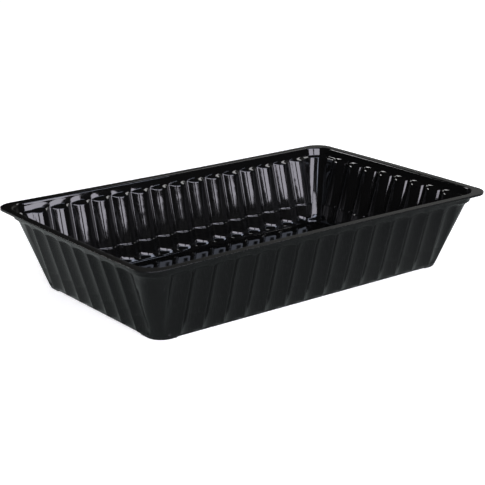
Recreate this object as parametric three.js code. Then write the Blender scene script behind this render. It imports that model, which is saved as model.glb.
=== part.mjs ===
// Black plastic food tray, formed in one piece from a warm plastic sheet.
// A flat flange runs round the top, a plain band hangs below it, and the four sides are fluted:
// each flute is a round-backed ridge inside the tray and a round groove outside it, with a narrow rib
// between two grooves. The corners are plain, and the base is flat.
// Millimetres, +Z up, origin at the middle of the base, on the face that the tray stands on.
import * as THREE from 'three';

// Rim
const rimLength = 227;
const rimWidth = 142.2;
const rimCornerRadius = 10;
const rimThickness = 1.2;
const flangeWidth = 5;
const flangeFillet = 1.2;
// The thin rim has sprung a little in plan: the long sides lean in and the short sides lean out
const longSideBow = -1.1;
const shortSideBow = 0.6;

// Body
const trayHeight = 43;
const wallThickness = 0.8;
const bandHeight = 3.6;
const bandLean = 0.9;
const wallTaper = 11.5;
const wallCornerRadius = 10.5;

// Flutes
const longPitch = 12.84;
const shortPitch = 13.04;
const fluteDepthTop = 3.3;
const fluteDepthFoot = 2.4;
const cornerInset = 1.6;
const ledgeArch = 1;
const ledgeDrop = 1;
const ledgeRound = 0.4;
const stepHeight = 11.6;
const stepDepth = 0.4;
const stepRise = 0.8;

// Foot
const footHeight = 2.6;
const footEdgeHeight = 0.5;
const footEdgeRound = 0.5;
const floorFillet = 1;

// Fineness of the faceted surface
const facetsPerFlute = 4;
const cornerFacets = 6;
const shortestFacet = 0.05;

const trayColour = 0x2b2b2a;

const ledgeHeight = trayHeight - rimThickness - bandHeight;
const bandHalfLength = rimLength / 2 - flangeWidth;
const bandHalfWidth = rimWidth / 2 - flangeWidth;

// The flute field of one side: how many flutes fit between the corners, and how far the outermost rib
// that still runs straight down to the foot lies from the middle of the side
function fluteField(halfSide, pitch) {
  const straightTop = halfSide - wallCornerRadius;
  const straightFoot = straightTop - wallTaper;
  const count = Math.floor(2 * straightTop / pitch);
  const cutFlutes = Math.max(1, Math.ceil(count / 2 - straightFoot / pitch));
  return { pitch, end: count / 2 * pitch, lastFullRib: (count / 2 - cutFlutes) * pitch };
}
const longField = fluteField(bandHalfLength, longPitch);
const shortField = fluteField(bandHalfWidth, shortPitch);

// How deep a flute's round back lies at a distance along the side, as a share of its full depth
function roundBack(field, along, depth) {
  const half = field.pitch / 2;
  const fromRib = (field.end - along) % field.pitch;
  const fromMiddle = fromRib - half;
  const radius = (half * half + depth * depth) / (2 * depth);
  return (Math.sqrt(radius * radius - fromMiddle * fromMiddle) - radius + depth) / depth;
}

// Depth below the rib tops on a straight side: the outermost flute runs out into the plain corner
function fluteShare(field, along, depth) {
  const cornerShare = cornerInset / depth;
  if (along >= field.end) return cornerShare;
  const share = roundBack(field, along, depth);
  const outermostMiddle = field.end - field.pitch / 2;
  return along > outermostMiddle ? Math.max(share, cornerShare) : share;
}

// Stations round a quarter of the tray, from the middle of a short side to the middle of a long side.
// A field station keeps its place along the side, so that the ribs run straight down the wall. A lead
// station lies between the last full rib and the corner arc, and an arc station on the arc itself
function fieldStations(side, field) {
  const steps = Math.round(field.lastFullRib / field.pitch * facetsPerFlute);
  return Array.from({ length: steps + 1 }, (_, i) => ({
    kind: 'field', side, along: field.lastFullRib * i / steps,
  }));
}

function leadStations(side, field, halfSide) {
  const straightTop = halfSide - wallCornerRadius;
  const span = straightTop - field.lastFullRib;
  const step = field.pitch / facetsPerFlute;
  const stations = [];
  for (let distance = step; distance < span - shortestFacet; distance += step) {
    stations.push({ kind: 'lead', side, share: distance / span });
  }
  return stations;
}

function arcStations() {
  return Array.from({ length: cornerFacets + 1 }, (_, i) => ({
    kind: 'arc', angle: Math.PI / 2 * i / cornerFacets,
  }));
}

const quarterStations = [
  ...fieldStations('short', shortField),
  ...leadStations('short', shortField, bandHalfWidth),
  ...arcStations(),
  ...leadStations('long', longField, bandHalfLength).reverse(),
  ...fieldStations('long', longField).reverse(),
];

// A station's place on a round-cornered outline, in the first quarter, with its outward direction
function onOutline(station, halfLength, halfWidth, radius) {
  if (station.kind === 'arc') {
    const direction = new THREE.Vector2(Math.cos(station.angle), Math.sin(station.angle));
    const centre = new THREE.Vector2(halfLength - radius, halfWidth - radius);
    return { point: centre.addScaledVector(direction, radius), direction, along: Infinity };
  }
  const isLong = station.side === 'long';
  const field = isLong ? longField : shortField;
  const straight = (isLong ? halfLength : halfWidth) - radius;
  const lead = field.lastFullRib + (station.share ?? 0) * (straight - field.lastFullRib);
  const along = station.kind === 'field' ? station.along : lead;
  const point = isLong ? new THREE.Vector2(along, halfWidth) : new THREE.Vector2(halfLength, along);
  const direction = isLong ? new THREE.Vector2(0, 1) : new THREE.Vector2(1, 0);
  return { point, direction, along, field, bow: bowAt(isLong, along, straight) };
}

// The rim's spring at a place along a side: full at the middle and nothing where the corner starts
function bowAt(isLong, along, straight) {
  const share = 1 - (along / straight) ** 2;
  return (isLong ? longSideBow : shortSideBow) * Math.max(0, share);
}

// One ring of points round the tray. The level gives the outline's inset from the band, its height and
// how much of the flute depth and of the rim's spring it takes
function ringPoint(station, level) {
  const halfLength = bandHalfLength - level.inset;
  const halfWidth = bandHalfWidth - level.inset;
  const { point, direction, along, field, bow = 0 } =
    onOutline(station, halfLength, halfWidth, level.radius);
  const isArc = station.kind === 'arc';
  const share = isArc ? cornerInset / level.depth : fluteShare(field, along, level.depth);
  const wallInset = level.fluted ? share * level.depth : plainInset(station, level);
  point.addScaledVector(direction, bow * level.spring - wallInset);
  if (isArc && level.fluted) cutByOutermostFlutes(point, halfLength, halfWidth, level.depth);
  return new THREE.Vector3(point.x, point.y, level.height + level.rise * share);
}

// Lower down, the corner arc reaches in under the outermost flutes, which cut into it
function cutByOutermostFlutes(point, halfLength, halfWidth, depth) {
  const { x, y } = point;
  if (x < longField.end) point.y = Math.min(y, halfWidth - depth * roundBack(longField, x, depth));
  if (y < shortField.end) point.x = Math.min(x, halfLength - depth * roundBack(shortField, y, depth));
}

// Below the ribs the sides stand back to the line of the flutes, and the corners stand proud of it
function plainInset(station, level) {
  return station.kind === 'field' ? level.sideInset : level.cornerInset;
}

const plainLevel = {
  depth: fluteDepthTop, fluted: false, sideInset: 0, cornerInset: 0, rise: 0, spring: 1,
};

// A level of the rim or the band. The offset is outward from the foot of the band's outer face
function rimLevel(offset, height, radius) {
  return { ...plainLevel, inset: -offset, height, radius };
}

// A level of the wall, inside or outside. The skin is the wall's thickness inside and nothing outside
function wallLevel(height, skin, step) {
  const fall = (ledgeHeight - height) / ledgeHeight;
  const depth = THREE.MathUtils.lerp(fluteDepthTop, fluteDepthFoot, fall) + step;
  const radius = wallCornerRadius - skin;
  return {
    ...plainLevel, inset: wallTaper * fall + skin, height, radius, depth, fluted: true,
    spring: 1 - fall,
  };
}

// A level of the foot, where ribs and flutes run out into one straight line
function footLevel(height, skin, round) {
  const inset = wallTaper + skin;
  return {
    ...plainLevel, inset, height, radius: wallCornerRadius - skin, spring: 0,
    sideInset: fluteDepthFoot + round, cornerInset: cornerInset + round,
  };
}

// The two edges of the ledge between the band and the flutes: the upper one arches up over each flute
// and the lower one dips and bulges into the tray
function ledgeLevels(skin, drop) {
  const upper = { ...wallLevel(ledgeHeight, skin, 0), fluted: false, sideInset: 0, cornerInset: 0 };
  upper.rise = ledgeArch;
  const lower = { ...wallLevel(ledgeHeight, skin, 0), rise: -ledgeDrop };
  lower.height -= ledgeRound;
  return [upper, lower].map((level) => ({ ...level, height: level.height - drop }));
}

// The rounded edge where the flange turns down into the tray
function filletLevels() {
  const angles = [0, 0.5, 1].map((share) => share * Math.PI / 2);
  return angles.map((angle) => {
    const offset = bandLean + flangeFillet * (1 - Math.sin(angle)) - wallThickness;
    const height = trayHeight - flangeFillet * (1 - Math.cos(angle));
    return rimLevel(offset, height, wallCornerRadius + offset);
  }).reverse();
}

// Inside of the tray, from the floor up to the rim
function insideLevels() {
  const floor = wallThickness;
  const [ledgeTop, ledgeFoot] = ledgeLevels(wallThickness, 0);
  return [
    footLevel(floor, wallThickness, floorFillet),
    footLevel(floor + floorFillet, wallThickness, 0),
    wallLevel(floor + footHeight, wallThickness, 0),
    wallLevel(stepHeight - stepRise / 2, wallThickness, stepDepth),
    wallLevel(stepHeight + stepRise / 2, wallThickness, 0),
    ledgeFoot,
    ledgeTop,
    ...filletLevels(),
    rimLevel(flangeWidth, trayHeight, rimCornerRadius),
  ];
}

// Outside of the tray, from the rim down to the base
function outsideLevels() {
  const [ledgeTop, ledgeFoot] = ledgeLevels(0, wallThickness);
  return [
    rimLevel(flangeWidth, trayHeight - rimThickness, rimCornerRadius),
    rimLevel(bandLean, trayHeight - rimThickness, wallCornerRadius + bandLean),
    ledgeTop,
    ledgeFoot,
    wallLevel(stepHeight + stepRise / 2, 0, 0),
    wallLevel(stepHeight - stepRise / 2, 0, stepDepth),
    wallLevel(footHeight, 0, 0),
    footLevel(footEdgeHeight, 0, 0),
    footLevel(0, 0, footEdgeRound),
  ];
}

// The quarter's points, mirrored into a closed ring that runs anticlockwise seen from above
function closedRing(level) {
  const quarter = quarterStations.map((station) => ringPoint(station, level));
  const mirrored = (signX, signY) => quarter.map((p) => new THREE.Vector3(signX * p.x, signY * p.y, p.z));
  return [
    ...mirrored(1, 1).slice(0, -1),
    ...mirrored(-1, 1).reverse().slice(0, -1),
    ...mirrored(-1, -1).slice(0, -1),
    ...mirrored(1, -1).reverse().slice(0, -1),
  ];
}

// Skin one closed body over the rings, from the floor's middle, up the inside, over the rim, down the
// outside and across the base
function skin(rings) {
  const count = rings[0].length;
  const points = rings.flat();
  const faces = [];
  for (let ring = 0; ring < rings.length - 1; ring += 1) {
    for (let column = 0; column < count; column += 1) {
      const here = ring * count + column;
      const next = ring * count + (column + 1) % count;
      faces.push(here, here + count, next, next, here + count, next + count);
    }
  }
  const floorMiddle = points.push(new THREE.Vector3(0, 0, rings[0][0].z)) - 1;
  const baseMiddle = points.push(new THREE.Vector3(0, 0, rings.at(-1)[0].z)) - 1;
  const lastRing = (rings.length - 1) * count;
  for (let column = 0; column < count; column += 1) {
    const next = (column + 1) % count;
    faces.push(floorMiddle, column, next, baseMiddle, lastRing + next, lastRing + column);
  }
  const geometry = new THREE.BufferGeometry().setFromPoints(points);
  geometry.setIndex(faces);
  geometry.computeVertexNormals();
  return geometry;
}

function makeTray() {
  const rings = [...insideLevels(), ...outsideLevels()].map(closedRing);
  const material = new THREE.MeshStandardMaterial({ color: trayColour, roughness: 0.3, metalness: 0 });
  const tray = new THREE.Mesh(skin(rings), material);
  tray.name = 'tray';
  return tray;
}

const group = new THREE.Group();
group.add(makeTray());

export default group;
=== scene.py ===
# %% [markdown]
# A black plastic food tray, formed in one piece from a warm sheet. This lesson builds its shape from one
# flute that is repeated along each side, one corner that is mirrored, and a flat floor, and then gives it
# the look of formed polypropylene under soft studio light.
#
# The imported CAD model gives the frame: it is loaded first, and its tray is hidden once the finished tray is
# made.

# %% Load the frame
import bmesh
import bpy
import math
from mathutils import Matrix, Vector


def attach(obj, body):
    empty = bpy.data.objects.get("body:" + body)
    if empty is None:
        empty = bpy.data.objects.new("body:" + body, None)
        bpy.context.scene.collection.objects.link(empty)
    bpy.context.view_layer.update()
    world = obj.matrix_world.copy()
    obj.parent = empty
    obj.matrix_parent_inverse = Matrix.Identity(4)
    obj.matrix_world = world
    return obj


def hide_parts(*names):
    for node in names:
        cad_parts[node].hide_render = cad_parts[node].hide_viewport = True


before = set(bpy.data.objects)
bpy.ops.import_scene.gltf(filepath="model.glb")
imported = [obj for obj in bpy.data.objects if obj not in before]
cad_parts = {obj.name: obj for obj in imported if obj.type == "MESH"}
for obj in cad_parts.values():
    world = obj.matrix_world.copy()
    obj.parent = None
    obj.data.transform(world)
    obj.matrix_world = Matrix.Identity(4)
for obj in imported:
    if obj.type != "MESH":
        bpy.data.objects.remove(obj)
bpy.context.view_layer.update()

# %% [markdown]
# The real tray is measured in millimetres, and Blender works in metres, so the sizes stay in the unit that
# a maker would read on a drawing, and one number turns them to metres when a mesh is made.

# %% Sizes of the tray, in millimetres
MM = 0.001
TRAY_HEIGHT = 43.0
WALL = 0.8
BAND_HALF_LENGTH = 108.5
BAND_HALF_WIDTH = 66.1
BAND_LEAN = 0.9
SIDE_LEAN, END_LEAN = -1.1, 0.6
LEDGE_HEIGHT = 38.2
WALL_TAPER = 11.5
WALL_CORNER_RADIUS = 10.5

FLANGE_WIDTH = 5.0
FLANGE_THICKNESS = 1.2
FLANGE_FILLET = 1.2
FLANGE_CORNER_RADIUS = 10.0
EDGE_ROUND = 0.12
UNDER_FILLET, UNDER_CHAMFER = 0.5, 0.15

LONG_PITCH = 12.84
LONG_COUNT = 15
SHORT_PITCH = 13.04
SHORT_COUNT = 8
DEPTH_TOP = 3.3
DEPTH_FOOT = 2.4
CORNER_INSET = 1.6
RIB_ROUND = 0.55

FOOT_HEIGHT = 2.6
FLOOR_FILLET = 1.0
BASE_ROUND = 0.5
STEP_HEIGHT = 11.6
STEP_RISE = 0.4
STEP_DEPTH = 0.4
LEDGE_ARCH = 1.0
LEDGE_DROP = 1.0
LEDGE_ROUND = 0.4

print("Length over the flange:", round(2 * (BAND_HALF_LENGTH + FLANGE_WIDTH + END_LEAN), 1), "mm")

# %% [markdown]
# Seen from above, each flute is a round-backed hollow on the outside of the wall and a ridge on the inside.
# Its back is an arc of a circle. Between two flutes stands a narrow rib, and a formed sheet is never sharp
# there, so the distance from the rib is bent a little near zero, which rounds the rib.

# %% The section of a flute
def round_back(distance, pitch, depth):
    """How far the flute's back lies behind the ribs, at a distance from the last rib."""
    half = pitch / 2
    from_rib = half - abs(distance % pitch - half)
    soft = (math.hypot(from_rib, RIB_ROUND) - RIB_ROUND) / (math.hypot(half, RIB_ROUND) - RIB_ROUND)
    radius = (half * half + depth * depth) / (2 * depth)
    from_middle = half * (1 - soft)
    return math.sqrt(radius * radius - from_middle * from_middle) - radius + depth


print("Depth in the middle of a flute:", round(round_back(LONG_PITCH / 2, LONG_PITCH, DEPTH_TOP), 2), "mm")

# %% [markdown]
# The sheet is drawn as a stack of levels. Walking through them goes from the floor up the inside, over the
# flange and down the outside to the base. Each level says how high it is, how far it stands in from the
# band, and how much of the flutes it takes: none on the flange and at the foot, all of them on the wall.
# Where a rounding meets a flat or a straight stretch, a level stands close by, so that the soft shading of
# the rounding stays near it.

# %% The levels of the sheet
QUARTERS = (0.25, 0.5, 0.75)
WALL_ROWS, LEDGE_ROWS, RUN_OUT_ROWS = 13, 8, 6
FLOOR_FILLET_ROWS, FLANGE_FILLET_ROWS, EDGE_ROWS = 4, 5, 3
BAND_ROWS = ((0.06, 0.94), (0.55, 0.3), (0.9, 0.0))
ON_FLAT = (0.2, 1.0)
BESIDE_FILLET = 0.3
FILLET_TURN = math.pi / 2 - 0.2


def smooth(share):
    """A share from 0 to 1 that starts and ends softly."""
    return share * share * (3 - 2 * share)


def level(height, inset, radius, depth=DEPTH_TOP, flute=0.0, side=0.0, corner=0.0, rise=0.0):
    return dict(height=height, inset=inset, radius=radius, depth=depth, flute=flute,
                side=side, corner=corner, rise=rise)


def wall_level(height, skin, extra_depth=0.0, rise=0.0, flute=1.0):
    """A level on the sloping wall. The skin is 0 on its outside and the wall's thickness on its inside."""
    fall = (LEDGE_HEIGHT - height) / LEDGE_HEIGHT
    depth = DEPTH_TOP + (DEPTH_FOOT - DEPTH_TOP) * fall + extra_depth
    return level(height, WALL_TAPER * fall + skin, WALL_CORNER_RADIUS - skin, depth, flute, rise=rise)


def foot_level(height, skin, extra, flat=0.0):
    """A level at the foot, where the sheet stands in by the extra of a rounding and by a bit of flat."""
    return level(height, WALL_TAPER + skin, WALL_CORNER_RADIUS - skin,
                 side=DEPTH_FOOT + extra + flat, corner=CORNER_INSET + extra + flat)


def run_out_levels(low, high, skin):
    """The flutes run out into one straight line at the foot."""
    top = wall_level(high, skin)
    levels = []
    for step in range(1, RUN_OUT_ROWS):
        share = step / RUN_OUT_ROWS
        inset = WALL_TAPER + skin + (top["inset"] - WALL_TAPER - skin) * share
        levels.append(level(low + (high - low) * share, inset, top["radius"], top["depth"],
                            smooth(share), side=DEPTH_FOOT, corner=CORNER_INSET))
    return levels


def wall_levels(foot, skin):
    """The fluted wall, with the small step in the flutes a quarter of the way up."""
    low, high = STEP_HEIGHT - STEP_RISE / 2, STEP_HEIGHT + STEP_RISE / 2
    top = LEDGE_HEIGHT - LEDGE_ROUND
    levels = []
    for share in (0, *QUARTERS, 0.97, 1):
        levels.append(wall_level(foot + (low - foot) * share, skin, STEP_DEPTH * share))
    for share in QUARTERS:
        levels.append(wall_level(low + (high - low) * share, skin, STEP_DEPTH * (1 - smooth(share))))
    for share in [0, 0.01] + [step / WALL_ROWS for step in range(1, WALL_ROWS)] + [0.99]:
        height = high + (top - high) * share
        levels.append(wall_level(height, skin, rise=-LEDGE_DROP * smooth(share)))
    return levels


def ledge_levels(skin, drop):
    """The ledge over each flute swings from the wall's face to the band's in one soft curve."""
    levels = []
    for step in range(LEDGE_ROWS + 1):
        share = step / LEDGE_ROWS
        height = LEDGE_HEIGHT - LEDGE_ROUND * (1 - share)
        rise = -LEDGE_DROP + (LEDGE_ARCH + LEDGE_DROP) * share
        made = wall_level(height, skin, rise=rise, flute=1 - smooth(share))
        made["height"] -= drop
        levels.append(made)
    return levels


def band_levels(skin, drop):
    """The plain band leans out from the ledge to the flange, and its foot follows the ledge's arches."""
    levels = []
    for share, rise in BAND_ROWS:
        out = BAND_LEAN * share - skin
        height = LEDGE_HEIGHT + (TRAY_HEIGHT - FLANGE_FILLET - LEDGE_HEIGHT) * share
        levels.append(level(height - drop, -out, WALL_CORNER_RADIUS + out, rise=LEDGE_ARCH * rise))
    return levels


def rim_level(offset, height, radius):
    """A level that stands out from the band, with no flutes."""
    return level(height, -offset, radius)


def inside_levels():
    """The floor lies one wall's thickness up, and from its fillet the inside climbs to the flange."""
    levels = [foot_level(WALL, WALL, FLOOR_FILLET, flat) for flat in ON_FLAT[::-1]]
    for step in range(FLOOR_FILLET_ROWS + 1):
        angle = math.pi / 2 * step / FLOOR_FILLET_ROWS
        levels.append(foot_level(WALL + FLOOR_FILLET * (1 - math.cos(angle)), WALL,
                                 FLOOR_FILLET * (1 - math.sin(angle))))
    levels += run_out_levels(WALL + FLOOR_FILLET, WALL + FOOT_HEIGHT, WALL)
    levels += wall_levels(WALL + FOOT_HEIGHT, WALL)
    levels += ledge_levels(WALL, 0.0) + band_levels(WALL, 0.0)
    return levels


def flange_levels():
    """From the band, over the flange's inner fillet and its outer edge, back to the wall below it."""
    levels = []
    for step in range(FLANGE_FILLET_ROWS + 1):
        angle = FILLET_TURN * (1 - step / FLANGE_FILLET_ROWS)
        offset = BAND_LEAN + FLANGE_FILLET * (1 - math.sin(angle)) - WALL
        height = TRAY_HEIGHT - FLANGE_FILLET * (1 - math.cos(angle))
        levels.append(rim_level(offset, height, WALL_CORNER_RADIUS + offset))
    inner = BAND_LEAN + FLANGE_FILLET - WALL + BESIDE_FILLET
    levels.append(rim_level(inner, TRAY_HEIGHT, WALL_CORNER_RADIUS + inner))
    outer = EDGE_ROUND + BESIDE_FILLET
    levels.append(rim_level(FLANGE_WIDTH - outer, TRAY_HEIGHT, FLANGE_CORNER_RADIUS - outer))
    for step in range(EDGE_ROWS + 1):
        angle = math.pi / 2 * step / EDGE_ROWS
        back = EDGE_ROUND * (1 - math.sin(angle))
        height = TRAY_HEIGHT - EDGE_ROUND * (1 - math.cos(angle))
        levels.append(rim_level(FLANGE_WIDTH - back, height, FLANGE_CORNER_RADIUS - back))
    under = TRAY_HEIGHT - FLANGE_THICKNESS
    levels.append(rim_level(FLANGE_WIDTH, under + UNDER_CHAMFER, FLANGE_CORNER_RADIUS))
    levels.append(rim_level(FLANGE_WIDTH - UNDER_CHAMFER, under, FLANGE_CORNER_RADIUS - UNDER_CHAMFER))
    for out, down in ((UNDER_FILLET, 0.0), (UNDER_CHAMFER, UNDER_CHAMFER), (0.0, UNDER_FILLET)):
        levels.append(rim_level(BAND_LEAN + out, under - down, WALL_CORNER_RADIUS + BAND_LEAN + out))
    return levels


def outside_levels():
    """The same way down. The ledge hangs one wall's thickness lower here, so the wall ends below it."""
    levels = band_levels(0.0, WALL)[::-1] + ledge_levels(0.0, WALL)[::-1]
    wall_top = LEDGE_HEIGHT - LEDGE_ROUND - WALL
    levels += [made for made in wall_levels(FOOT_HEIGHT, 0.0)[::-1] if made["height"] < wall_top]
    levels += run_out_levels(BASE_ROUND, FOOT_HEIGHT, 0.0)[::-1]
    for step in range(EDGE_ROWS + 1):
        angle = math.pi / 2 * (1 - step / EDGE_ROWS)
        levels.append(foot_level(BASE_ROUND * (1 - math.cos(angle)), 0.0,
                                 BASE_ROUND * (1 - math.sin(angle))))
    return levels + [foot_level(0.0, 0.0, BASE_ROUND, flat) for flat in ON_FLAT]


INSIDE = inside_levels()
FLANGE = flange_levels()
OUTSIDE = outside_levels()
LEVELS = INSIDE + FLANGE + OUTSIDE
FLANGE_TOP_LEVELS = 8
AIR_SIDE = len(INSIDE) + FLANGE_TOP_LEVELS
print("Levels from the floor, over the flange, to the base:", len(LEVELS))

# %% [markdown]
# A column of points crosses all the levels at one place round the tray. Between the straight part of a side
# and its corner the outermost flute is cut off by the plain corner, which stands halfway between the ribs
# and the backs of the flutes. Where the corner's arc reaches in under that flute, the flute cuts into it.

# %% Columns of points
def flute_inset(made, field, along):
    """How far the sheet stands in at one place on a side, by the flute or by the plain corner."""
    pitch, end = field["pitch"], field["end"]
    if along >= end:
        return CORNER_INSET
    depth = round_back(end - along, pitch, made["depth"])
    return max(depth, CORNER_INSET) if along > end - pitch / 2 else depth


def side_column(field, half_side, place):
    """Points up a place on a side. Along the side is X, and out of the tray is Y."""
    points = []
    for made in LEVELS:
        half = half_side - made["inset"]
        along = place(made)
        inset = flute_inset(made, field, along)
        plain = made["side"]
        if along > field["last_rib"] + 0.01:
            plain = made["corner"]
        away = inset * made["flute"] + plain * (1 - made["flute"])
        points.append((along, half - away, made["height"] + made["rise"] * inset / made["depth"]))
    return points


def corner_column(angle):
    """Points up a place on the corner's arc, in the tray's own X and Y."""
    points = []
    for made in LEVELS:
        half_length = BAND_HALF_LENGTH - made["inset"]
        half_width = BAND_HALF_WIDTH - made["inset"]
        away = CORNER_INSET * made["flute"] + made["corner"] * (1 - made["flute"])
        reach = made["radius"] - away
        x = half_length - made["radius"] + reach * math.cos(angle)
        y = half_width - made["radius"] + reach * math.sin(angle)
        if made["flute"] > 0.99:
            x, y = cut_by_flutes(x, y, half_length, half_width, made["depth"])
        points.append((x, y, made["height"] + made["rise"] * CORNER_INSET / made["depth"]))
    return points


def cut_by_flutes(x, y, half_length, half_width, depth):
    """The outermost flutes cut into the corner's arc where it reaches in under them."""
    cut_x, cut_y = x, y
    if x < LONG["end"]:
        cut_y = min(y, half_width - round_back(LONG["end"] - x, LONG_PITCH, depth))
    if y < SHORT["end"]:
        cut_x = min(x, half_length - round_back(SHORT["end"] - y, SHORT_PITCH, depth))
    return cut_x, cut_y


def flute_field(half_side, pitch, count):
    """Where the flutes of a side end, and how many of them stay whole between the plain corners."""
    straight_foot = half_side - WALL_CORNER_RADIUS - WALL_TAPER
    cut_off = max(1, math.ceil(count / 2 - straight_foot / pitch))
    return dict(pitch=pitch, end=count / 2 * pitch, last_rib=(count / 2 - cut_off) * pitch,
                full=count - 2 * cut_off)


LONG = flute_field(BAND_HALF_LENGTH, LONG_PITCH, LONG_COUNT)
SHORT = flute_field(BAND_HALF_WIDTH, SHORT_PITCH, SHORT_COUNT)
print("Full flutes on a long side:", LONG["full"], "and on a short side:", SHORT["full"])

# %% [markdown]
# One flute panel and one corner are made in mesh code, because their points follow a formula. Each keeps an
# attribute that is 1 on the side of the sheet that faced the air and 0 on the side that lay on the mould:
# the two have a different shine, and the material reads it later.

# %% Panels from columns
ACROSS = [0, 0.022, 0.05, 0.09, 0.15, 0.225, 0.32, 0.41, 0.5, 0.59, 0.68, 0.775, 0.85, 0.91, 0.95, 0.978, 1]
ARC_STEPS = 14


def panel_object(name, columns):
    """A mesh with a face between each two columns and two levels."""
    mesh = bpy.data.meshes.new(name)
    rows = len(LEVELS)
    points = [Vector(point) * MM for column in columns for point in column]
    faces = []
    for column in range(len(columns) - 1):
        for row in range(rows - 1):
            here = column * rows + row
            faces.append((here, here + rows, here + rows + 1, here + 1))
    mesh.from_pydata(points, [], faces)
    air = mesh.attributes.new("air_side", "FLOAT", "POINT")
    air.data.foreach_set("value", [1.0 if i % rows < AIR_SIDE else 0.0 for i in range(len(points))])
    made = bpy.data.objects.new(name, mesh)
    bpy.context.scene.collection.objects.link(made)
    return made


def flute_panel(name, field, half_side):
    """One flute between two ribs, in the middle of a side."""
    start = field["end"] - field["pitch"] * math.floor(field["end"] / field["pitch"])
    shift = -start - field["pitch"] / 2
    columns = []
    for share in ACROSS:
        column = side_column(field, half_side, lambda made: start + field["pitch"] * share)
        columns.append([(x + shift, y, z) for x, y, z in column])
    return panel_object(name, columns)


def lead_places(field, half_side):
    """Places from the last full rib to the start of the corner, spread over each level's own span."""
    span = half_side - WALL_CORNER_RADIUS - field["last_rib"]
    places = []
    for across in ACROSS[1:]:
        share = field["pitch"] * across / span
        if share > 0.99:
            break

        def place(made, share=share):
            start = half_side - made["inset"] - made["radius"]
            return field["last_rib"] + share * (start - field["last_rib"])
        places.append(place)
    return places


def corner_columns():
    """From the last rib of a long side, round the corner's arc, to the last rib of a short side."""
    last = [side_column(LONG, BAND_HALF_WIDTH, lambda made: LONG["last_rib"])]
    leads = [side_column(LONG, BAND_HALF_WIDTH, place) for place in lead_places(LONG, BAND_HALF_LENGTH)]
    arc = [corner_column(math.pi / 2 * (1 - step / ARC_STEPS)) for step in range(ARC_STEPS + 1)]
    far = [side_column(SHORT, BAND_HALF_LENGTH, place) for place in lead_places(SHORT, BAND_HALF_WIDTH)]
    end = [side_column(SHORT, BAND_HALF_LENGTH, lambda made: SHORT["last_rib"])]
    turned = [[(y, x, z) for x, y, z in column] for column in far[::-1] + end]
    return last + leads + arc + turned


long_flute = flute_panel("long_flute", LONG, BAND_HALF_WIDTH)
short_flute = flute_panel("short_flute", SHORT, BAND_HALF_LENGTH)
corner = panel_object("corner", corner_columns())
print("Points in a long flute:", len(long_flute.data.vertices), "and in a corner:", len(corner.data.vertices))

# %% [markdown]
# Everything that adds a node goes through one function. Its inputs are a number, a vector or another
# node's output, and its settings are the node's own properties.

# %% Add a node
def add(tree, kind, inputs=None, **settings):
    made = tree.nodes.new(kind)
    for name, value in settings.items():
        setattr(made, name, value)
    for place, value in (inputs or {}).items():
        socket = made.inputs[place]
        for one in value if isinstance(value, list) else [value]:
            if isinstance(one, bpy.types.NodeSocket):
                tree.links.new(one, socket)
            else:
                socket.default_value = one
    return made


def hex_to_linear(code):
    """An sRGB hex colour as the linear numbers that the shader takes."""
    values = [int(code[place:place + 2], 16) / 255 for place in (1, 3, 5)]
    linear = [v / 12.92 if v <= 0.04045 else ((v + 0.055) / 1.055) ** 2.4 for v in values]
    return (*linear, 1.0)


print("A linear mid grey:", round(hex_to_linear("#808080")[0], 3))

# %% [markdown]
# The plastic is polypropylene sheet, coloured black in the mass and drawn into a mould by vacuum. The side
# that faced the air is glossy, with the slow unevenness of a sheet that cooled as it stretched, and the side
# that lay on the mould is satin. The mould's grain, a few hundredths of a millimetre, is too fine to draw,
# so it is given as roughness. The unevenness has waves of about 14 mm. The IOR of polypropylene is 1.49.

# %% Vacuum-formed black polypropylene
WAVE_LENGTH, WAVE_HEIGHT = 14 * MM, 0.07 * MM
MOULD_ROUGHNESS, AIR_ROUGHNESS, ROUGHNESS_WAVES = 0.22, 0.045, 0.03


def formed_polypropylene():
    """Black gloss on the air side and satin on the mould side, both with slow waves."""
    material = bpy.data.materials.new("black_polypropylene_vacuum_formed")
    material.use_nodes = True
    tree = material.node_tree
    shader = tree.nodes["Principled BSDF"]
    shader.inputs["Base Color"].default_value = hex_to_linear("#0b0b0b")
    shader.inputs["IOR"].default_value = 1.49
    place = add(tree, "ShaderNodeTexCoord").outputs["Object"]
    air = add(tree, "ShaderNodeAttribute", attribute_name="air_side").outputs["Fac"]
    waves = add(tree, "ShaderNodeTexNoise",
                {"Vector": place, "Scale": 1 / WAVE_LENGTH, "Detail": 2.0}).outputs[0]
    rough = add(tree, "ShaderNodeMapRange",
                {"Value": air, "To Min": MOULD_ROUGHNESS, "To Max": AIR_ROUGHNESS}).outputs[0]
    uneven = add(tree, "ShaderNodeMath", {0: waves, 1: ROUGHNESS_WAVES, 2: rough},
                 operation="MULTIPLY_ADD").outputs[0]
    tree.links.new(uneven, shader.inputs["Roughness"])
    slow = add(tree, "ShaderNodeBump", {"Height": waves, "Distance": WAVE_HEIGHT, "Strength": 1.0})
    tree.links.new(slow.outputs[0], shader.inputs["Normal"])
    return material


plastic = formed_polypropylene()
print("Material:", plastic.name)

# %% [markdown]
# Geometry Nodes lays the flutes side by side. A line of points, one pitch apart, carries a copy of the
# flute, and each row is turned to its side of the tray. The corner is turned and mirrored, and a mirrored
# copy has its faces flipped so that they still point outwards. Points that meet are merged into one sheet.

# %% A tree that lays out the flutes
MERGE_DISTANCE = 0.01 * MM


def new_tree(name, sizes):
    """A tree with a named input for each size."""
    tree = bpy.data.node_groups.new(name, "GeometryNodeTree")
    tree.interface.new_socket("Geometry", in_out="INPUT", socket_type="NodeSocketGeometry")
    tree.interface.new_socket("Geometry", in_out="OUTPUT", socket_type="NodeSocketGeometry")
    for size, kind in sizes.items():
        tree.interface.new_socket(size, in_out="INPUT", socket_type=kind)
    return tree, add(tree, "NodeGroupInput").outputs


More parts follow.
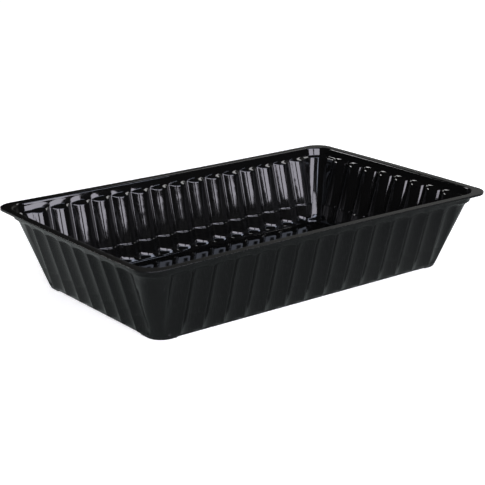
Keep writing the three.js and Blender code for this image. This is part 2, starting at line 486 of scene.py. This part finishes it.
SIZES = {
    "Flute": "NodeSocketObject", "End flute": "NodeSocketObject", "Corner": "NodeSocketObject",
    "Flutes on a side": "NodeSocketInt", "Pitch": "NodeSocketFloat",
    "Flutes on an end": "NodeSocketInt", "End pitch": "NodeSocketFloat",
    "Side lean": "NodeSocketFloat", "End lean": "NodeSocketFloat",
    "Half length": "NodeSocketFloat", "Half width": "NodeSocketFloat",
    "Corner radius": "NodeSocketFloat", "Lean height": "NodeSocketFloat",
    "Plastic": "NodeSocketMaterial",
}
tree, size = new_tree("flutes_round_a_tray", SIZES)


def flute_row(flute, count, pitch, turn):
    """A row of flutes along one side and the same row on the side across from it."""
    last = add(tree, "ShaderNodeMath", {0: count, 1: 1.0}, operation="SUBTRACT").outputs[0]
    back = add(tree, "ShaderNodeMath", {0: last, 1: pitch}, operation="MULTIPLY").outputs[0]
    half = add(tree, "ShaderNodeMath", {0: back, 1: -0.5}, operation="MULTIPLY").outputs[0]
    start = add(tree, "ShaderNodeCombineXYZ", {"X": half}).outputs[0]
    step = add(tree, "ShaderNodeCombineXYZ", {"X": pitch}).outputs[0]
    line = add(tree, "GeometryNodeMeshLine", {"Count": count, "Start Location": start, "Offset": step})
    shape = add(tree, "GeometryNodeObjectInfo", {"Object": flute}).outputs["Geometry"]
    row = add(tree, "GeometryNodeInstanceOnPoints", {"Points": line.outputs[0], "Instance": shape})
    sides = []
    for angle in (turn, turn + math.pi):
        sides.append(add(tree, "GeometryNodeTransform",
                         {"Geometry": row.outputs[0], "Rotation": (0, 0, angle)}).outputs[0])
    return sides


rows = flute_row(size["Flute"], size["Flutes on a side"], size["Pitch"], 0.0)
rows += flute_row(size["End flute"], size["Flutes on an end"], size["End pitch"], math.pi / 2)

one = add(tree, "GeometryNodeObjectInfo", {"Object": size["Corner"]}).outputs["Geometry"]
mirrored = add(tree, "GeometryNodeTransform", {"Geometry": one, "Scale": (-1, 1, 1)}).outputs[0]
flipped = add(tree, "GeometryNodeFlipFaces", {"Mesh": mirrored}).outputs[0]
pair = add(tree, "GeometryNodeJoinGeometry", {"Geometry": [one, flipped]}).outputs[0]
across = add(tree, "GeometryNodeTransform", {"Geometry": pair, "Rotation": (0, 0, math.pi)}).outputs[0]
joined = add(tree, "GeometryNodeJoinGeometry", {"Geometry": rows + [pair, across]}).outputs[0]
real = add(tree, "GeometryNodeRealizeInstances", {"Geometry": joined}).outputs[0]
sheet = add(tree, "GeometryNodeMergeByDistance", {"Geometry": real, "Distance": MERGE_DISTANCE}).outputs[0]
print("Nodes in the tree so far:", len(tree.nodes))

# %% [markdown]
# The real flange has sprung a little as it cooled: the long sides lean in and the short sides lean out.
# The last step of the tree moves each point by that much. The move is largest in the middle of a side, and
# it is nothing at the corners and at the base.

# %% The spring of the flange
def lean(along, out, half_along, half_out, amount, height_share):
    """How far a point moves out: the lean, times its place along the side, times its height."""
    straight = add(tree, "ShaderNodeMath", {0: half_along, 1: size["Corner radius"]}, operation="SUBTRACT")
    part = add(tree, "ShaderNodeMath", {0: along, 1: straight.outputs[0]}, operation="DIVIDE").outputs[0]
    square = add(tree, "ShaderNodeMath", {0: part, 1: part}, operation="MULTIPLY").outputs[0]
    bow = add(tree, "ShaderNodeMath", {0: 1.0, 1: square}, operation="SUBTRACT", use_clamp=True).outputs[0]
    reach = add(tree, "ShaderNodeMath", {0: out, 1: half_out}, operation="DIVIDE").outputs[0]
    full = add(tree, "ShaderNodeMath", {0: reach, 1: amount}, operation="MULTIPLY").outputs[0]
    here = add(tree, "ShaderNodeMath", {0: full, 1: bow}, operation="MULTIPLY").outputs[0]
    return add(tree, "ShaderNodeMath", {0: here, 1: height_share}, operation="MULTIPLY").outputs[0]


where = add(tree, "GeometryNodeInputPosition").outputs[0]
axes = add(tree, "ShaderNodeSeparateXYZ", {"Vector": where}).outputs
rise = add(tree, "ShaderNodeMath", {0: axes["Z"], 1: size["Lean height"]},
           operation="DIVIDE", use_clamp=True).outputs[0]
move_x = lean(axes["Y"], axes["X"], size["Half width"], size["Half length"], size["End lean"], rise)
move_y = lean(axes["X"], axes["Y"], size["Half length"], size["Half width"], size["Side lean"], rise)
offset = add(tree, "ShaderNodeCombineXYZ", {"X": move_x, "Y": move_y}).outputs[0]
sprung = add(tree, "GeometryNodeSetPosition", {"Geometry": sheet, "Offset": offset}).outputs[0]
finished = add(tree, "GeometryNodeSetMaterial", {"Geometry": sprung, "Material": size["Plastic"]})
add(tree, "NodeGroupOutput", {0: finished.outputs[0]})
print("Nodes in the finished tree:", len(tree.nodes))

# %% [markdown]
# A modifier's inputs are set by each socket's identifier before the object is evaluated. The result is then
# taken out as a plain mesh, and the helpers and the modifier go.

# %% Run the tree and keep a plain mesh
VALUES = {
    "Flute": long_flute, "End flute": short_flute, "Corner": corner,
    "Flutes on a side": LONG["full"], "Pitch": LONG_PITCH * MM,
    "Flutes on an end": SHORT["full"], "End pitch": SHORT_PITCH * MM,
    "Side lean": SIDE_LEAN * MM, "End lean": END_LEAN * MM,
    "Half length": BAND_HALF_LENGTH * MM, "Half width": BAND_HALF_WIDTH * MM,
    "Corner radius": WALL_CORNER_RADIUS * MM, "Lean height": LEDGE_HEIGHT * MM,
    "Plastic": plastic,
}


def run_tree(name, tree, values):
    """Runs the tree on an empty carrier and keeps its result as an object with a plain mesh."""
    carrier = bpy.data.objects.new(name + "_carrier", bpy.data.meshes.new(name + "_carrier"))
    bpy.context.scene.collection.objects.link(carrier)
    modifier = carrier.modifiers.new("layout", "NODES")
    modifier.node_group = tree
    for item in tree.interface.items_tree:
        if item.in_out == "INPUT" and item.name in values:
            modifier[item.identifier] = values[item.name]
    ready = carrier.evaluated_get(bpy.context.evaluated_depsgraph_get())
    mesh = bpy.data.meshes.new_from_object(ready)
    carrier.modifiers.remove(modifier)
    bpy.data.objects.remove(carrier)
    made = bpy.data.objects.new(name, mesh)
    bpy.context.scene.collection.objects.link(made)
    return made


tray = run_tree("tray_sheet", tree, VALUES)
for helper in (long_flute, short_flute, corner):
    bpy.data.objects.remove(helper)
print("Faces in the sheet:", len(tray.data.polygons))

# %% [markdown]
# The sheet is still open at the floor and at the base. Both are flat, so one face closes each: its edge
# lies a millimetre in from the fillet, which keeps the smooth shading of the fillet off the flat.

# %% Close the floor and the base
def close_flats(piece):
    """Fills the two open rings, shades all smooth, and counts the edges that were and are still open."""
    shape = bmesh.new()
    shape.from_mesh(piece.data)
    open_edges = [edge for edge in shape.edges if edge.is_boundary]
    flats = []
    for up in (True, False):
        ring = [edge for edge in open_edges if (edge.verts[0].co.z > WALL * MM / 2) == up]
        for face in bmesh.ops.edgeloop_fill(shape, edges=ring)["faces"]:
            face.normal_update()
            if (face.normal.z > 0) != up:
                face.normal_flip()
            flats.append(face)
    bmesh.ops.triangulate(shape, faces=flats)
    for face in shape.faces:
        face.smooth = True
        face.material_index = 0
    left = [edge for edge in shape.edges if not edge.is_manifold]
    shape.to_mesh(piece.data)
    shape.free()
    piece.data.materials.clear()
    piece.data.materials.append(plastic)
    return len(open_edges), len(left)


print("Open edges closed, edges left open:", close_flats(tray))

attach(tray, "root")
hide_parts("tray")
print("Triangles in the tray:", sum(len(face.vertices) - 2 for face in tray.data.polygons))

# %% [markdown]
# The camera stands where the photographer's did: 733 mm from the tray, 17.5 degrees above the table, and
# 38 degrees round to the left of the long side. A small shift puts the tray where it lies in the frame.

# %% Camera
AZIMUTH, ELEVATION, DISTANCE = math.radians(-38.032), math.radians(17.495), 0.73298
AIM = Vector((0, 0, 0.020))
FOCAL_PIXELS, IMAGE_PIXELS, SENSOR = 1357.44, 485, 36.0
SHIFT_PIXELS = (-4.333, -3.151)

back = Vector((math.sin(AZIMUTH) * math.cos(ELEVATION), -math.cos(AZIMUTH) * math.cos(ELEVATION),
               math.sin(ELEVATION)))
camera_data = bpy.data.cameras.new("camera")
camera = bpy.data.objects.new("camera", camera_data)
bpy.context.scene.collection.objects.link(camera)
camera.location = AIM + back * DISTANCE
camera.rotation_euler = (-back).to_track_quat("-Z", "Y").to_euler()
camera_data.sensor_width = SENSOR
camera_data.lens = FOCAL_PIXELS * SENSOR / IMAGE_PIXELS
camera_data.shift_x, camera_data.shift_y = [shift / IMAGE_PIXELS for shift in SHIFT_PIXELS]
camera_data.clip_start = 0.01
bpy.context.scene.camera = camera
print("Lens in mm:", round(camera_data.lens, 2), "at", [round(v, 3) for v in camera.location])

# %% [markdown]
# The floor is a plain white sweep. It is bright to the camera and to reflections, as white paper is, and a
# share of it still takes light, so that the tray's shadow shows on it.

# %% Floor and world
FLOOR_REACH, FLOOR_DROP = 6.0, 0.0002
FLOOR_GLOW, WORLD_LIGHT, WORLD_SEEN = 0.62, 0.45, 1.0


def sees_background(tree):
    """1 for the rays that look at the background: from the camera, off gloss and through glass."""
    path = add(tree, "ShaderNodeLightPath").outputs
    first = add(tree, "ShaderNodeMath", {0: path["Is Camera Ray"], 1: path["Is Glossy Ray"]},
                operation="MAXIMUM").outputs[0]
    return add(tree, "ShaderNodeMath", {0: first, 1: path["Is Transmission Ray"]},
               operation="MAXIMUM").outputs[0]


def paper_floor():
    """A wide white sheet, just below the tray's base."""
    material = bpy.data.materials.new("white_paper_sweep")
    material.use_nodes = True
    tree = material.node_tree
    shader = tree.nodes["Principled BSDF"]
    shader.inputs["Base Color"].default_value = hex_to_linear("#f4f4f4")
    shader.inputs["Roughness"].default_value = 0.9
    shader.inputs["Specular IOR Level"].default_value = 0.0
    shader.inputs["Emission Color"].default_value = hex_to_linear("#ffffff")
    lit = add(tree, "ShaderNodeMath", {0: sees_background(tree), 1: FLOOR_GLOW}, operation="MULTIPLY")
    tree.links.new(lit.outputs[0], shader.inputs["Emission Strength"])
    mesh = bpy.data.meshes.new("floor")
    corners = [(x * FLOOR_REACH, y * FLOOR_REACH, 0) for x, y in ((-1, -1), (1, -1), (1, 1), (-1, 1))]
    mesh.from_pydata(corners, [], [(0, 1, 2, 3)])
    mesh.materials.append(material)
    floor = bpy.data.objects.new("floor", mesh)
    floor.location.z = -FLOOR_DROP
    bpy.context.scene.collection.objects.link(floor)


def studio_world():
    """White all round, dimmer as a light than to an eye or a reflection."""
    world = bpy.data.worlds.new("studio")
    bpy.context.scene.world = world
    world.use_nodes = True
    tree = world.node_tree
    surface = tree.nodes["Background"]
    surface.inputs["Color"].default_value = hex_to_linear("#ffffff")
    strength = add(tree, "ShaderNodeMapRange",
                   {"Value": sees_background(tree), "To Min": WORLD_LIGHT, "To Max": WORLD_SEEN})
    tree.links.new(strength.outputs[0], surface.inputs["Strength"])


paper_floor()
studio_world()
bpy.context.scene.view_settings.view_transform = "Standard"
print("Floor reaches", FLOOR_REACH, "m out, and the world shines at", WORLD_LIGHT)

# %% [markdown]
# Black gloss shows whatever stands round it, so a photographer hangs dark cards round such a piece, lays one
# under it, and leaves only the soft boxes to shine in it. Here a glowing dark dome and a glowing grey disc
# stand in for them and paint shade into the reflections. The dome is painted dark surroundings. The disc is
# painted shade of the floor round and under the tray, greyer than the white floor that the camera sees. The
# camera, the soft light and the shadows pass through them, and only reflections see them. The dome is a
# lighter grey at the back and right, a painted reflection that draws the paler flange there.

# %% Painted shade and sheen for reflections
PAINTED_SHEET_REACH = 3.0


def painted_reflection_material(name, dark, pale, towards, start, full):
    """A glowing sheet of painted shade and sheen, whose grey goes from dark to pale towards one side, from
    start to full along that way.
    """
    material = bpy.data.materials.new(name)
    material.use_nodes = True
    tree = material.node_tree
    shader = tree.nodes["Principled BSDF"]
    shader.inputs["Base Color"].default_value = hex_to_linear("#000000")
    shader.inputs["Specular IOR Level"].default_value = 0.0
    shader.inputs["Emission Strength"].default_value = 1.0
    place = add(tree, "ShaderNodeTexCoord").outputs["Object"]
    side = add(tree, "ShaderNodeVectorMath", {0: place, 1: towards}, operation="DOT_PRODUCT").outputs["Value"]
    share = add(tree, "ShaderNodeMapRange", {"Value": side, "From Min": start, "From Max": full},
                interpolation_type="SMOOTHSTEP").outputs[0]
    tone = add(tree, "ShaderNodeMix", {"Factor": share, 6: hex_to_linear(dark), 7: hex_to_linear(pale)},
               data_type="RGBA").outputs[2]
    tree.links.new(tone, shader.inputs["Emission Color"])
    return material


def only_in_reflections(piece):
    """Hides a painted sheet from all but the rays that come off a shiny surface."""
    piece.visible_camera = False
    piece.visible_diffuse = False
    piece.visible_shadow = False
    piece.visible_transmission = False


def hung_cards():
    """A glowing dark dome round the tray that paints shade into reflections, with a pale painted reflection
    at its back and right, low down.
    """
    mesh = bpy.data.meshes.new("hung_cards")
    shape = bmesh.new()
    bmesh.ops.create_uvsphere(shape, u_segments=48, v_segments=24, radius=PAINTED_SHEET_REACH)
    below = [vertex for vertex in shape.verts if vertex.co.z < -MM]
    bmesh.ops.delete(shape, geom=below, context="VERTS")
    shape.to_mesh(mesh)
    shape.free()
    way = Vector((0.93, 0.35, 0.12)) / PAINTED_SHEET_REACH
    # Painted shade all round, and a pale painted reflection at the back and right, low down.
    mesh.materials.append(painted_reflection_material("painted_shade_and_sheen_dome_material", "#1c1c1b", "#8a8a88", way, start=0.7, full=1.0))
    return mesh


def laid_card():
    """The glowing sheet under the tray, painted floor shade in reflections, paler towards the back. Start and
    full are in metres here.
    """
    mesh = bpy.data.meshes.new("laid_card")
    turns = [math.tau * step / 64 for step in range(64)]
    ring = [(PAINTED_SHEET_REACH * math.cos(turn), PAINTED_SHEET_REACH * math.sin(turn), 0) for turn in turns]
    mesh.from_pydata(ring, [], [tuple(range(64))])
    way = (0.3, 1.0, 0.0)
    # Painted floor shade, seen only in reflections, greyer than the white floor and paler towards the back.
    mesh.materials.append(painted_reflection_material("laid_card", "#747b7b", "#c6cccc", way, start=-0.10, full=0.05))
    return mesh


# Each sheet glows and only reflections see it, so it paints shade and sheen onto the plastic.
for name, mesh, height in (("hung_cards", hung_cards(), 0.0), ("laid_card", laid_card(), -FLOOR_DROP / 2)):
    painted_sheet = bpy.data.objects.new(name, mesh)
    painted_sheet.location.z = height
    bpy.context.scene.collection.objects.link(painted_sheet)
    only_in_reflections(painted_sheet)
    print(name, "reaches", round(painted_sheet.dimensions.x / 2, 2), "m out")

# %% [markdown]
# Two soft boxes in front, low down, light the tray and draw the bright patches on the ridges inside it. The
# gap between them is the dark line down the middle of some patches. Three thin strips, two behind and one
# high in front, are for the reflections alone: they draw the thin lines and dashes on the fillets, the
# ledges and the step.

# %% Lamps
def soft_box(name, azimuth, elevation, distance, width, height, radiance, colour="#ffffff"):
    """A rectangular lamp that looks at the tray. The azimuth is counted from the front, to the right."""
    data = bpy.data.lights.new(name, "AREA")
    data.shape = "RECTANGLE"
    data.size, data.size_y = width, height
    data.energy = radiance * math.pi * width * height
    data.color = hex_to_linear(colour)[:3]
    lamp = bpy.data.objects.new(name, data)
    bpy.context.scene.collection.objects.link(lamp)
    turn, tilt = math.radians(azimuth), math.radians(elevation)
    way = Vector((math.sin(turn) * math.cos(tilt), -math.cos(turn) * math.cos(tilt), math.sin(tilt)))
    lamp.location = Vector((0, 0, 0.03)) + way * distance
    lamp.rotation_euler = (-way).to_track_quat("-Z", "Y").to_euler()
    return lamp


lamps = [
    soft_box("front_left", -34, 22.2, 0.95, 0.66, 0.36, 8.0, "#f4f2ff"),
    soft_box("front", 11, 22.2, 0.95, 0.54, 0.36, 8.0, "#f4f2ff"),
]
for lamp in lamps:
    lamp.visible_camera = False
reflectors = [
    soft_box("strip_behind_left", 188, 39, 1.3, 0.6, 0.16, 12.0),
    soft_box("strip_behind_right", 117, 45, 1.3, 0.8, 0.14, 4.0),
    soft_box("strip_above", -5, 49, 1.2, 1.8, 0.28, 7.0, "#dfe8ff"),
]
for lamp in reflectors:
    lamp.visible_camera = False
    lamp.visible_diffuse = False
print("Lamps:", [lamp.name for lamp in lamps + reflectors])
